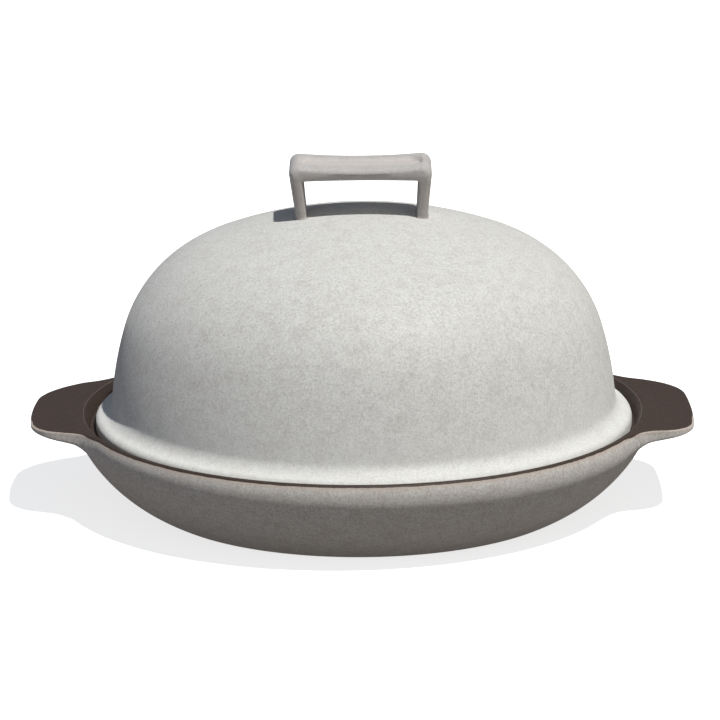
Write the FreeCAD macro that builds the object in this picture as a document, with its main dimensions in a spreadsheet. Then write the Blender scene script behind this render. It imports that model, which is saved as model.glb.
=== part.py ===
import FreeCAD, Part
import math
import os

import Sketcher

# Stoneware pot for baking bread: a round shallow dish with two flat lug handles, and a
# bell-shaped lid with a bridge handle, which rests on a ledge inside the dish's rim.
# Millimetres and degrees, +Z up, origin at the centre of the foot, lugs along X.

DIMENSIONS = {
    # dish, outside
    "rim_height": 48.0,
    "rim_outer_radius": 150.9,
    "lip_radius": 19.0,
    "lip_drop": 4.5,
    "lip_angle": 29.0,
    "side_overhang": 37.5,
    "foot_ring_width": 8.0,
    "foot_recess_depth": 2.0,
    # dish, inside
    "rim_width": 3.5,
    "seat_inset": 4.4,
    "seat_depth": 7.5,
    "seat_width": 5.5,
    "floor_height": 7.0,
    "floor_corner_radius": 40.0,
    # dish, edges
    "rim_round": 1.5,
    "rim_inner_round": 0.8,
    "foot_round": 0.8,
    # lug handles
    "lug_length": 23.1,
    "lug_root_half_width": 62.1,
    "lug_taper_angle": 24.0,
    "lug_end_bow": 2.9,
    "lug_corner_radius": 25.0,
    "lug_tip_thickness": 2.7,
    "lug_root_thickness": 6.7,
    "lug_overlap": 10.63,
    "lug_edge_land": 0.3,
    "lug_root_blend": 7.0,
    # lid, bell
    "lid_height": 113.2,
    "lid_wall": 6.5,
    "crown_radius": 228.6,
    "skirt_radius": 184.3,
    "skirt_height": 40.9,
    "skirt_foot_lean": 3.5,
    # lid, flange that sits on the dish's ledge
    "lid_clearance": 1.5,
    "flange_width": 9.7,
    "flange_thickness": 6.0,
    "flange_slope": 15.0,
    "cove_radius": 7.5,
    "flange_top_round": 2.0,
    "flange_lower_round": 1.0,
    # bridge handle
    "handle_rise": 27.7,
    "handle_width": 75.8,
    "handle_depth": 35.0,
    "handle_foot_depth": 20.0,
    "leg_lean": 3.1,
    "leg_top_thickness": 7.2,
    "leg_foot_thickness": 6.0,
    "leg_embedding": 3.0,
    "leg_shoulder_drop": 2.0,
    "leg_shoulder_radius": 14.0,
    "bar_thickness": 6.6,
    "saddle_dip": 1.8,
    "arch_rise": 0.5,
    "handle_corner_round": 5.0,
    "opening_corner_round": 1.5,
    "strap_edge_land": 0.5,
    "handle_root_fillet": 1.2,
    "recess_end_margin": 6.4,
    "recess_side_margin": 7.5,
    "recess_corner": 6.0,
    "recess_depth": 0.5,
}

START, END, CENTRE = 1, 2, 3
SKETCH_ORIGIN = (-1, 1)
ALONG_X = FreeCAD.Vector(1, 0, 0)
ALONG_Y = FreeCAD.Vector(0, 1, 0)
ALONG_Z = FreeCAD.Vector(0, 0, 1)
TOUCH = 1e-3


class Size(float):
    """A number that keeps the spreadsheet expression it stands for.
    Sums and products of sizes and whole numbers keep theirs, and other maths gives a plain number."""

    def __new__(cls, number, text):
        size = super().__new__(cls, number)
        size.text = text
        return size

    def joined(self, sign, other, number):
        if isinstance(other, Size):
            return Size(number, f"({self.text} {sign} {other.text})")
        if isinstance(other, int):
            return Size(number, f"({self.text} {sign} {other})")
        return number

    def __add__(self, other):
        return self.joined("+", other, float(self) + float(other))

    def __sub__(self, other):
        return self.joined("-", other, float(self) - float(other))

    def __mul__(self, other):
        return self.joined("*", other, float(self) * float(other))

    def __truediv__(self, other):
        return self.joined("/", other, float(self) / float(other))

    def __neg__(self):
        return Size(-float(self), f"(-{self.text})")


def square_root(size):
    return Size(math.sqrt(size), f"sqrt({size.text})")


def sine(angle):
    return Size(math.sin(math.radians(angle)), f"sin({angle.text})")


def tangent(angle):
    return Size(math.tan(math.radians(angle)), f"tan({angle.text})")


def least(first, second):
    return Size(min(first, second), f"min({first.text}; {second.text})")


size = {alias: Size(number, f"Sizes.{alias}") for alias, number in DIMENSIONS.items()}
on_axis = Size(0, "0")
on_ground = Size(0, "0")

foot_radius = size["rim_outer_radius"] - size["side_overhang"]
lug_reach = size["rim_outer_radius"] + size["lug_length"]
lug_tip_underside = size["rim_height"] - size["lug_tip_thickness"]
lug_root_underside = size["rim_height"] - size["lug_root_thickness"]
lug_slope = (lug_tip_underside - lug_root_underside) / size["lug_length"]
rim_inner_radius = size["rim_outer_radius"] - size["rim_width"]
seat_outer_radius = rim_inner_radius - size["seat_inset"]
seat_height = size["rim_height"] - size["seat_depth"]
flange_radius = seat_outer_radius - size["lid_clearance"]
flange_edge_height = seat_height + size["flange_thickness"]
skirt_foot_radius = flange_radius - size["flange_width"]
skirt_foot_height = flange_edge_height + size["flange_width"] * tangent(size["flange_slope"])
lid_top = seat_height + size["lid_height"]
handle_top = lid_top + size["handle_rise"]
handle_half_width = size["handle_width"] / 2
leg_foot_x = handle_half_width - size["leg_lean"]
leg_bottom = lid_top - leg_foot_x * leg_foot_x / (size["crown_radius"] * 2) - size["leg_embedding"]


def add_size_sheet(doc):
    sheet = doc.addObject("Spreadsheet::Sheet", "Sizes")
    for row, (alias, number) in enumerate(DIMENSIONS.items(), start=1):
        sheet.set(f"A{row}", alias.replace("_", " "))
        sheet.set(f"B{row}", str(number))
        sheet.setAlias(f"B{row}", alias)
    doc.recompute()


def add_body(doc, name):
    body = doc.addObject("PartDesign::Body", name)
    body.Label = name
    return body


def origin_plane(body, role):
    planes = {feature.Role: feature for feature in body.Origin.OriginFeatures}
    return planes[role]


def add_sketch(body, name, role, height=None):
    """A sketch on one of the body's origin planes, raised by a height where one is given."""
    sketch = body.newObject("Sketcher::SketchObject", name)
    sketch.AttachmentSupport = [(origin_plane(body, role), "")]
    sketch.MapMode = "FlatFace"
    if height is not None:
        sketch.setExpression("AttachmentOffset.Base.z", height.text)
    return sketch


class Outline:
    """A closed outline, drawn from point to point in a sketch.
    A coordinate that is a Size is pinned there. A plain number is where tangency puts the point."""

    def __init__(self, sketch, *place):
        self.sketch = sketch
        self.first_place = place
        self.first_item = None
        self.last_item = None
        self.at = place

    def rule(self, kind, *items):
        return self.sketch.addConstraint(Sketcher.Constraint(kind, *items))

    def tie(self, kind, items, length):
        number = self.rule(kind, *items, float(length))
        self.sketch.setExpression(f"Constraints[{number}]", length.text)

    def pin(self, item, end, x=None, y=None):
        for kind, length in (("DistanceX", x), ("DistanceY", y)):
            if isinstance(length, Size):
                self.tie(kind, (*SKETCH_ORIGIN, item, end), length)

    def follow(self, item, near, far, place, smooth):
        """Joins a new line or arc to the last one, and pins its far end or closes the outline."""
        if self.last_item is None:
            self.pin(item, near, *self.first_place)
            self.first_item = (item, near)
        else:
            self.rule("Tangent" if smooth else "Coincident", *self.last_item, item, near)
        if place == self.first_place:
            self.rule("Coincident", item, far, *self.first_item)
        else:
            self.pin(item, far, *place)
        self.last_item = (item, far)
        self.at = place
        return item

    def line(self, *place, smooth=False):
        ends = (FreeCAD.Vector(*self.at, 0), FreeCAD.Vector(*place, 0))
        item = self.sketch.addGeometry(Part.LineSegment(*ends), False)
        return self.follow(item, START, END, place, smooth)

    def arc(self, radius, turn, *place, smooth=False):
        """An arc of under half a circle, turning left (1) or right (-1) on its way."""
        first, last = (self.at, place)[::turn]
        chord = math.dist(first, last)
        reach = math.sqrt(radius * radius - (chord / 2) ** 2) / chord
        centre = (
            (first[0] + last[0]) / 2 - (last[1] - first[1]) * reach,
            (first[1] + last[1]) / 2 + (last[0] - first[0]) * reach,
        )
        angles = [math.atan2(y - centre[1], x - centre[0]) for x, y in (first, last)]
        circle = Part.Circle(FreeCAD.Vector(*centre, 0), ALONG_Z, float(radius))
        item = self.sketch.addGeometry(Part.ArcOfCircle(circle, *angles), False)
        self.follow(item, *(START, END)[::turn], place, smooth)
        if isinstance(radius, Size):
            self.tie("Radius", (item,), radius)
        return item

    def close(self, smooth=False):
        return self.line(*self.first_place, smooth=smooth)


# Plane geometry, for the points where smooth outlines pass from one curve to the next


def out_from(centre, through, distance):
    """The point at a distance from a centre, in the direction of another point."""
    share = distance / math.dist(centre, through)
    return tuple(c + (t - c) * share for c, t in zip(centre, through))


def touching(point, centre, radius):
    """Where a line from a point touches a circle, on the left of the way to its centre."""
    gap = math.dist(point, centre)
    reach = math.sqrt(gap**2 - radius**2)
    along = reach**2 / gap
    aside = reach * radius / gap
    x, y = (centre[0] - point[0]) / gap, (centre[1] - point[1]) / gap
    return point[0] + x * along - y * aside, point[1] + y * along + x * aside


# Features


def revolve(body, sketch, name):
    feature = body.newObject("PartDesign::Revolution", name)
    feature.Profile = sketch
    feature.ReferenceAxis = (sketch, ["V_Axis"])
    feature.Angle = 360
    return feature


def groove(body, sketch, name):
    feature = body.newObject("PartDesign::Groove", name)
    feature.Profile = sketch
    feature.ReferenceAxis = (sketch, ["V_Axis"])
    feature.Angle = 360
    return feature


def pad(body, sketch, name, length, midplane=False, reverse=False):
    feature = body.newObject("PartDesign::Pad", name)
    feature.Profile = sketch
    feature.setExpression("Length", length.text)
    feature.Midplane = midplane
    feature.Reversed = reverse
    return feature


def pocket(body, sketch, name, length=None, midplane=False):
    """A pocket of a length, or right through the body."""
    feature = body.newObject("PartDesign::Pocket", name)
    feature.Profile = sketch
    if length is None:
        feature.Type = "ThroughAll"
    else:
        feature.setExpression("Length", length.text)
    feature.Midplane = midplane
    return feature


def fuse(body, name, tools):
    feature = body.newObject("PartDesign::Boolean", name)
    feature.Type = "Fuse"
    feature.setObjects(tools)
    feature.Refine = True
    return feature


def fillet(body, base, name, radius, chosen):
    """Rounds those edges of a feature that pass a test, which gets each edge and its middle."""
    body.Document.recompute()
    edges = []
    for number, edge in enumerate(base.Shape.Edges, start=1):
        middle = edge.valueAt((edge.FirstParameter + edge.LastParameter) / 2)
        if not edge.Degenerated and chosen(edge, middle):
            edges.append(f"Edge{number}")
    feature = body.newObject("PartDesign::Fillet", name)
    feature.Base = (base, edges)
    feature.setExpression("Radius", radius.text)
    return feature


def ring_radius(point):
    return math.hypot(point.x, point.y)


def runs_along(edge, axis):
    return edge.Curve.TypeId == "Part::GeomLine" and abs(edge.Curve.Direction.dot(axis)) > 1 - TOUCH


# Dish


def draw_dish_outside(body):
    """The lip is an arc that is widest a little below the rim, and the side runs on from it."""
    lip, drop = size["lip_radius"], size["lip_drop"]
    angle = math.radians(size["lip_angle"])
    lip_centre = (size["rim_outer_radius"] - lip, size["rim_height"] - drop)
    rim_x = lip_centre[0] + math.sqrt(lip**2 - drop**2)
    joint = (lip_centre[0] + lip * math.cos(angle), lip_centre[1] - lip * sine(size["lip_angle"]))

    # The side touches the lip at the joint and ends at the foot
    run, rise = joint[0] - foot_radius, joint[1] - on_ground
    side = (run**2 + rise**2) / (2 * (run * math.cos(angle) - rise * math.sin(angle)))

    ring_inner_radius = foot_radius - size["foot_ring_width"]
    sketch = add_sketch(body, "dish_outside", "XZ_Plane")
    outline = Outline(sketch, on_axis, size["rim_height"])
    outline.line(rim_x, size["rim_height"])
    lip_arc = outline.arc(lip, -1, *joint)
    outline.arc(side, -1, foot_radius, on_ground, smooth=True)
    outline.line(ring_inner_radius, on_ground)
    outline.line(ring_inner_radius - size["foot_recess_depth"], size["foot_recess_depth"])
    outline.line(on_axis, size["foot_recess_depth"])
    outline.close()
    outline.pin(lip_arc, CENTRE, *lip_centre)
    return sketch


def draw_dish_inside(body):
    """The bowl, the ledge that carries the lid, and the sloping wall up to the rim."""
    mouth = seat_outer_radius - size["seat_width"]
    depth = seat_height - size["floor_height"]
    corner = size["floor_corner_radius"]
    corner_run = math.sqrt(depth * (corner * 2 - depth))
    sketch = add_sketch(body, "dish_inside", "XZ_Plane")
    outline = Outline(sketch, on_axis, size["floor_height"])
    floor = outline.line(mouth - corner_run, float(size["floor_height"]))
    outline.rule("Horizontal", floor)
    outline.arc(corner, 1, mouth, seat_height, smooth=True)
    outline.line(seat_outer_radius, seat_height)
    outline.line(rim_inner_radius, size["rim_height"])
    outline.line(on_axis, size["rim_height"])
    outline.close()
    return sketch


def draw_lug_outline(body):
    """Seen from above: tapered sides and a slightly bowed end."""
    sketch = add_sketch(body, "lug_outline", "XY_Plane", size["rim_height"])
    root_radius = size["rim_outer_radius"] - size["lug_overlap"]
    root_y = size["lug_root_half_width"]
    root_x = square_root(root_radius * root_radius - root_y * root_y)
    corner_x = lug_reach - size["lug_end_bow"]
    corner_y = root_y - tangent(size["lug_taper_angle"]) * (corner_x - root_x)
    bow = size["lug_end_bow"]
    end_radius = (corner_y * corner_y + bow * bow) / (bow * 2)
    outline = Outline(sketch, root_x, -root_y)
    outline.line(corner_x, -corner_y)
    outline.arc(end_radius, 1, corner_x, corner_y)
    outline.line(root_x, root_y)
    outline.close()
    return sketch


def draw_under_lug(body):
    """Seen from the front: what lies below the lug's underside, which falls to its root."""
    sketch = add_sketch(body, "under_lug", "XZ_Plane")
    outline = Outline(sketch, lug_reach, lug_tip_underside)
    outline.line(foot_radius, lug_root_underside - lug_slope * size["side_overhang"])
    outline.line(foot_radius, on_ground)
    outline.line(lug_reach, on_ground)
    outline.close()
    return sketch


def meets_lug(edge, middle):
    """Tells the edges where the lugs meet the dish's side from the side's own edges."""
    underside = lug_tip_underside - lug_slope * (lug_reach - abs(middle.x))
    return (
        ring_radius(middle) < size["rim_outer_radius"] + TOUCH
        and underside - TOUCH < middle.z < size["rim_height"] - TOUCH
    )


def make_lug(doc, number):
    body = add_body(doc, f"lug_{number}")
    body.Placement.Rotation = FreeCAD.Rotation(ALONG_Z, 180 * number)
    plate = pad(body, draw_lug_outline(body), "lug_plate", size["rim_height"], reverse=True)
    fillet(
        body, plate, "lug_corners", size["lug_corner_radius"],
        lambda edge, middle: runs_along(edge, ALONG_Z) and middle.x > size["rim_outer_radius"],
    )
    cut = pocket(body, draw_under_lug(body), "lug_underside", midplane=True)
    lower_round = size["lug_tip_thickness"] - size["rim_round"] - size["lug_edge_land"]
    fillet(
        body, cut, "lug_lower_edge", lower_round,
        lambda edge, middle: not runs_along(edge, ALONG_Z)
        and middle.z < size["rim_height"] - TOUCH
        and ring_radius(middle) > size["rim_outer_radius"],
    )
    return body


def make_dish(doc):
    body = add_body(doc, "base_dish")
    revolve(body, draw_dish_outside(body), "dish_turned")
    lugs = [make_lug(doc, number) for number in range(2)]
    whole = fuse(body, "dish_with_lugs", lugs)
    blended = fillet(body, whole, "lug_roots", size["lug_root_blend"], meets_lug)
    rounded = fillet(
        body, blended, "rim_and_lug_edge", size["rim_round"],
        lambda edge, middle: abs(middle.z - size["rim_height"]) < TOUCH,
    )
    fillet(
        body, rounded, "foot_edges", size["foot_round"],
        lambda edge, middle: abs(middle.z) < TOUCH,
    )
    hollowed = groove(body, draw_dish_inside(body), "dish_hollow")
    fillet(
        body, hollowed, "rim_inner_edge", size["rim_inner_round"],
        lambda edge, middle: abs(middle.z - size["rim_height"]) < TOUCH
        and abs(ring_radius(middle) - rim_inner_radius) < TOUCH,
    )
    return body


# Lid


def draw_lid_section(body):
    """The bell's crown, shoulder and skirt are tangent arcs, and the inside keeps the wall.
    The skirt stands on the flange, whose flat underside meets the dish's ledge."""
    wall = size["lid_wall"]
    crown, skirt = size["crown_radius"], size["skirt_radius"]
    lean = size["skirt_foot_lean"]
    foot = (skirt_foot_radius, skirt_foot_height)
    crown_centre = (0, lid_top - crown)
    skirt_centre = (
        foot[0] - skirt * math.cos(math.radians(lean)),
        foot[1] - skirt * math.sin(math.radians(lean)),
    )
    skirt_top = foot[1] + size["skirt_height"]
    skirt_top_x = skirt_centre[0] + math.sqrt(skirt**2 - (skirt_top - skirt_centre[1]) ** 2)
    joint = (skirt_top_x, float(skirt_top))

    # The shoulder touches the skirt at its top and the crown somewhere above
    x, z = (joint[0] - skirt_centre[0]) / skirt, (joint[1] - skirt_centre[1]) / skirt
    run, rise = joint[0], joint[1] - crown_centre[1]
    shoulder = (run**2 + rise**2 - crown**2) / (2 * (run * x + rise * z - crown))
    shoulder_centre = (joint[0] - shoulder * x, joint[1] - shoulder * z)
    inner_foot_x = skirt_centre[0] + math.sqrt(
        (skirt - wall) ** 2 - (seat_height - skirt_centre[1]) ** 2
    )

    sketch = add_sketch(body, "lid_section", "XZ_Plane")
    outline = Outline(sketch, on_axis, lid_top)
    outer_crown = outline.arc(crown, -1, *out_from(crown_centre, shoulder_centre, crown))
    outer_shoulder = outline.arc(shoulder, -1, joint[0], skirt_top, smooth=True)
    outer_skirt = outline.arc(skirt, -1, *foot, smooth=True)
    outline.line(flange_radius, flange_edge_height)
    outline.line(flange_radius, seat_height)
    outline.line(inner_foot_x, seat_height)
    inner_skirt = outline.arc(
        float(skirt - wall), 1, *out_from(skirt_centre, shoulder_centre, skirt - wall)
    )
    inner_shoulder = outline.arc(
        shoulder - wall, 1, *out_from(crown_centre, shoulder_centre, crown - wall), smooth=True
    )
    inner_crown = outline.arc(float(crown - wall), 1, on_axis, lid_top - wall, smooth=True)
    outline.close()

    outline.pin(outer_crown, CENTRE, on_axis)
    outline.tie("DistanceY", (outer_skirt, CENTRE, outer_skirt, START), skirt * sine(lean))
    outers = (outer_crown, outer_shoulder, outer_skirt)
    for outer, inner in zip(outers, (inner_crown, inner_shoulder, inner_skirt)):
        outline.rule("Coincident", outer, CENTRE, inner, CENTRE)
    return sketch


def draw_handle_front(body):
    """Seen from the front: a strap that rises from the dome, crosses over and comes down again."""
    dip = size["saddle_dip"]
    saddle_radius = (handle_half_width * handle_half_width + dip * dip) / (dip * 2)
    inner_half = handle_half_width - size["leg_top_thickness"]
    inner_foot_x = leg_foot_x - size["leg_foot_thickness"]
    rise = size["arch_rise"]
    arch_radius = (inner_half * inner_half + rise * rise) / (rise * 2)
    underside = handle_top - dip - size["bar_thickness"] - rise
    outline = Outline(add_sketch(body, "handle_front", "XZ_Plane"), -leg_foot_x, leg_bottom)
    outline.line(-handle_half_width, handle_top)
    outline.arc(saddle_radius, 1, handle_half_width, handle_top)
    outline.line(leg_foot_x, leg_bottom)
    outline.line(inner_foot_x, leg_bottom)
    outline.line(inner_half, underside)
    outline.arc(arch_radius, 1, -inner_half, underside)
    outline.line(-inner_foot_x, leg_bottom)
    outline.close()
    return outline.sketch


def draw_before_leg(body):
    """Seen from the side: what is cut away before a leg, which narrows down to its foot."""
    front = -(size["handle_depth"] / 2)
    foot = (-(size["handle_foot_depth"] / 2), leg_bottom)
    shoulder = handle_top - size["leg_shoulder_drop"]
    radius = size["leg_shoulder_radius"]
    outline = Outline(add_sketch(body, "before_leg", "YZ_Plane"), *foot)
    outline.line(*touching(foot, (front + radius, shoulder), radius))
    arc = outline.arc(radius, -1, front, shoulder, smooth=True)
    outline.line(front * 2, shoulder)
    outline.line(front * 2, leg_bottom)
    outline.close()
    outline.pin(arc, CENTRE, None, shoulder)
    return outline.sketch


def draw_recess(body):
    half_length = handle_half_width - size["recess_end_margin"]
    half_width = size["handle_depth"] / 2 - size["recess_side_margin"]
    corner = size["recess_corner"]
    sketch = add_sketch(body, "recess_outline", "XY_Plane", handle_top)
    outline = Outline(sketch, corner - half_length, -half_width)
    outline.line(half_length - corner, -half_width)
    outline.arc(corner, 1, half_length, corner - half_width)
    outline.line(half_length, half_width - corner)
    outline.arc(corner, 1, half_length - corner, half_width)
    outline.line(corner - half_length, half_width)
    outline.arc(corner, 1, -half_length, half_width - corner)
    outline.line(-half_length, corner - half_width)
    outline.arc(corner, 1, corner - half_length, -half_width)
    return sketch


def make_handle(doc):
    body = add_body(doc, "bridge_handle")
    strap = pad(body, draw_handle_front(body), "strap", size["handle_depth"], midplane=True)
    bar_middle = handle_top - size["saddle_dip"] - size["bar_thickness"] / 2
    rounded = fillet(
        body, strap, "strap_corners", size["handle_corner_round"],
        lambda edge, middle: runs_along(edge, ALONG_Y) and middle.z > bar_middle,
    )
    fillet(
        body, rounded, "opening_corners", size["opening_corner_round"],
        lambda edge, middle: runs_along(edge, ALONG_Y)
        and lid_top < middle.z < bar_middle
        and abs(middle.x) < handle_half_width - size["leg_foot_thickness"],
    )
    before = pocket(body, draw_before_leg(body), "before_leg_cut", midplane=True)
    behind = body.newObject("PartDesign::Mirrored", "behind_leg_cut")
    behind.Originals = [before]
    behind.MirrorPlane = (origin_plane(body, "XZ_Plane"), [""])
    body.Tip = behind
    thinnest = least(size["leg_foot_thickness"], size["bar_thickness"])
    fillet(
        body, behind, "strap_edges", thinnest / 2 - size["strap_edge_land"],
        lambda edge, middle: not runs_along(edge, ALONG_X) and not runs_along(edge, ALONG_Y),
    )
    recess_fall = size["saddle_dip"] + size["recess_depth"]
    pocket(body, draw_recess(body), "recess_cut", recess_fall)
    return body


def make_lid(doc):
    body = add_body(doc, "domed_lid")
    turned = revolve(body, draw_lid_section(body), "lid_turned")
    cove = fillet(
        body, turned, "flange_cove", size["cove_radius"],
        lambda edge, middle: abs(middle.z - skirt_foot_height) < TOUCH
        and abs(ring_radius(middle) - skirt_foot_radius) < TOUCH,
    )
    rounded = fillet(
        body, cove, "flange_top_edge", size["flange_top_round"],
        lambda edge, middle: abs(middle.z - flange_edge_height) < TOUCH
        and abs(ring_radius(middle) - flange_radius) < TOUCH,
    )
    rounded = fillet(
        body, rounded, "flange_lower_edge", size["flange_lower_round"],
        lambda edge, middle: abs(middle.z - seat_height) < TOUCH
        and abs(ring_radius(middle) - flange_radius) < TOUCH,
    )
    whole = fuse(body, "lid_with_handle", [make_handle(doc)])
    fillet(
        body, whole, "handle_roots", size["handle_root_fillet"],
        lambda edge, middle: leg_bottom < middle.z < lid_top and abs(middle.y) > TOUCH,
    )
    return body


def check(doc, pieces):
    """Stops before anything is written if a feature failed or a piece is not one sound solid."""
    for feature in doc.Objects:
        if "Invalid" in feature.State or "Error" in feature.State:
            raise RuntimeError(f"{feature.Name} failed: {feature.State}")
    for sketch in doc.findObjects("Sketcher::SketchObject"):
        if not sketch.FullyConstrained:
            raise RuntimeError(f"{sketch.Name} is not fully constrained")
    for piece in pieces:
        shape = piece.Shape
        if shape.isNull() or not shape.isValid() or len(shape.Solids) != 1:
            raise RuntimeError(f"{piece.Label} is not one valid solid")


def main():
    doc = FreeCAD.newDocument("bread_pot")
    add_size_sheet(doc)
    pieces = [make_dish(doc), make_lid(doc)]
    doc.recompute()
    check(doc, pieces)
    os.makedirs("parts", exist_ok=True)
    for piece in pieces:
        piece.Shape.exportStep(f"parts/{piece.Label}.step")
        print(piece.Label, "volume", round(piece.Shape.Volume), "cubic mm")


main()
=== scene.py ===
import math

import bpy
import numpy as np
from mathutils import Matrix, Vector


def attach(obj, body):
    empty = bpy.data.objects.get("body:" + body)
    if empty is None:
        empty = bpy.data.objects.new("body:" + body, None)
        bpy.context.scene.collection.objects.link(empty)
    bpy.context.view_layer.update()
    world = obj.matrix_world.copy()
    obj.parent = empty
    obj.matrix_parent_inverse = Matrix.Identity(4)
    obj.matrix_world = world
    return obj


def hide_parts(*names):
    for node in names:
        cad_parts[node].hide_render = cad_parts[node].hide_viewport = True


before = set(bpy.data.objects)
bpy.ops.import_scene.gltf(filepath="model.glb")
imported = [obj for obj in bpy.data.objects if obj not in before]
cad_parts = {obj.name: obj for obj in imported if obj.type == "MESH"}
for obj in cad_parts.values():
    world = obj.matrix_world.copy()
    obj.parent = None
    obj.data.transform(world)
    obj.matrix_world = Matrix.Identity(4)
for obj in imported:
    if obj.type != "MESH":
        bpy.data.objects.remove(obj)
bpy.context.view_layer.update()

# Sizes in millimetres and degrees: the solids' sizes, fitted a little more closely to the photograph

MM = 0.001
TOUCH = 0.01
UP = 90
DOWN = -90

# Dish: turned section

RIM_RADIUS = 149.9
RIM_HEIGHT = 48.0
RIM_INNER_RADIUS = 146.6
RIM_ROUND = 1.0
RIM_INNER_ROUND = 0.4
LIP_HEIGHT = 41.8
LIP_UPPER_RADIUS = 11.0
LIP_RADIUS = 15.5
LIP_ANGLE = 29.0
FOOT_RADIUS = 111.7
FOOT_RING_WIDTH = 8.0
FOOT_RECESS = 2.0
FOOT_ROUND = 0.8
SEAT_HEIGHT = 40.5
SEAT_OUTER_RADIUS = 143.0
SEAT_WIDTH = 5.5
SEAT_CORNER_ROUND = 0.7
MOUTH_ROUND = 0.6
FLOOR_HEIGHT = 7.0
FLOOR_CORNER = 40.0

# Dish: lugs. The root is where the straight side of the right lug's back leaves the rim, as x and y

LUG_REACH = 174.0
LUG_ROOT = (125.78, 62.1)
LUG_TAPER = 24.0
LUG_END_BOW = 2.9
LUG_CORNER = 25.0
LUG_TIP_THICKNESS = 3.0
LUG_ROOT_THICKNESS = 6.2
LUG_LOWER_ROUND = 1.0
LUG_ROOT_BLEND = 7.5
LUG_DROOP = 0.8
# How far the hand-cut sides lie outside the even plan: back and front side, each at the rim and at the tip
LUG_UNEVENNESS = {"right": ((2.7, 0.0), (0.0, 6.5)), "left": ((4.2, -3.8), (-3.8, -2.3))}
LUG_SIDES_MEET = 60.0
RIGHT_LUG_SHORTER = 1.0

# Lid: the bell. The skirt's foot is a radius and a height

LID_SHIFT = 0.65
LID_TOP = 153.6
LID_WALL = 6.5
LID_FOOT_ROUND = 0.8
CROWN_RADIUS = 232.0
SKIRT_RADIUS = 182.6
SKIRT_FOOT = (132.5, 49.1)
SKIRT_FOOT_LEAN = 2.9
SKIRT_HEIGHT = 43.8
FLANGE_RISE = 0.6
FLANGE_RADIUS = 140.8
FLANGE_EDGE_HEIGHT = 46.9
COVE_RADIUS = 7.5
FLANGE_TOP_ROUND = 3.6
FLANGE_LOWER_ROUND = 1.0

# Lid: the handle

HANDLE_TOP = 181.35
HANDLE_SHIFT = -0.2
HANDLE_HALF_WIDTH = 37.5
HANDLE_HALF_DEPTH = 17.5
HANDLE_BACK_STRETCH = 1.12
HANDLE_FOOT_HALF_DEPTH = 10.0
LEG_LEAN = 3.1
LEFT_LEG_LEAN = 1.3
LEG_TOP_THICKNESS = 7.2
LEG_FOOT_THICKNESS = 5.5
LEG_BOTTOM = 148.0
LEG_SINK = 3.0
LEG_FOOT_HEIGHT = LID_TOP - (HANDLE_HALF_WIDTH - LEG_LEAN) ** 2 / (2 * CROWN_RADIUS) - LEG_SINK
SHOULDER_DROP = 2.0
SHOULDER_RADIUS = 14.0
BAR_THICKNESS = 7.0
SADDLE_DIP = 1.8
ARCH_RISE = 0.5
HANDLE_CORNER_ROUND = 5.0
OPENING_CORNER_ROUND = 1.5
# The corners are rounded towards a point on the bar this far from the handle's end
HANDLE_CORNER_AIM = 10.0
OPENING_CORNER_AIM = 18.0
# The long edges are rounded, up to a share of the strap's thickness
HANDLE_EDGE_ROUND = 3.9
HANDLE_EDGE_SHARE = 0.6
HANDLE_INNER_EDGE_ROUND = 2.2
HANDLE_INNER_EDGE_SHARE = 0.36
# The feet spread to their sides and ends. The higher a power, the closer to that side or end it starts
HANDLE_ROOT_ROUND = 0.9
ROOT_SIDE_POWER = 6
ROOT_END_POWER = 24
ROOT_LEAST_PUSH = 0.3
RECESS_HALF_LENGTH = 31.5
RECESS_HALF_WIDTH = 9.0
RECESS_AHEAD = 1.5
RECESS_CORNER = 6.0
RECESS_DEPTH = 1.0
RECESS_WALL = 2.4

# Unevenness of the walls. A wave has a share, lobes round the wall, a start and a height per radian of twist

UNEVENNESS = 0.18
WAVES = ((0.5, 2, 0.8, 60.0), (0.3, 3, 2.1, -35.0), (0.2, 5, 4.0, 22.0))
BELL_CALM_RADIUS = 60.0
BELL_CALM_HEIGHT = 8.0
DISH_CALM_HEIGHT = 12.0
DISH_CALM_WIDTH = 4.0


def eased(share):
    """Keeps a share between 0 and 1 and softens its start and end."""
    share = np.clip(share, 0, 1)
    return share * share * (3 - 2 * share)


def waviness(angle, height):
    """The slight unevenness of a hand-finished wall, in millimetres."""
    return UNEVENNESS * sum(
        share * np.sin(lobes * angle + start + height / twist) for share, lobes, start, twist in WAVES
    )


# Plane curves, as arrays of points


def turned(angle):
    """The step of length 1 along an angle."""
    return np.stack([np.cos(np.radians(angle)), np.sin(np.radians(angle))], axis=-1)


def direction(centre, point):
    """The angle at which a point is seen from a centre."""
    return math.degrees(math.atan2(point[1] - centre[1], point[0] - centre[0]))


def outer_point(centre, radius, height):
    """The point of a circle at a height, on the side away from the axis."""
    return np.array([centre[0] + math.sqrt(radius**2 - (height - centre[1]) ** 2), height])


def arc(centre, radius, start, end, spacing=1.5):
    """Points on an arc from one angle to another."""
    count = max(5, math.ceil(abs(math.radians(end - start)) * radius / spacing) + 1)
    return np.array(centre) + radius * turned(np.linspace(start, end, count))


def run(start, end, spacing=1.5):
    """Points on a straight run."""
    start, end = np.array(start, float), np.array(end, float)
    count = max(2, math.ceil(np.linalg.norm(end - start) / spacing) + 1)
    return start + (end - start) * np.linspace(0, 1, count)[:, None]


def chain(*curves):
    """Joins curves end to end and leaves out repeated points."""
    points = [curves[0]]
    for curve in curves[1:]:
        touching = np.linalg.norm(curve[0] - points[-1][-1]) < TOUCH
        points.append(curve[1:] if touching else curve)
    return np.concatenate(points)


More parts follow.
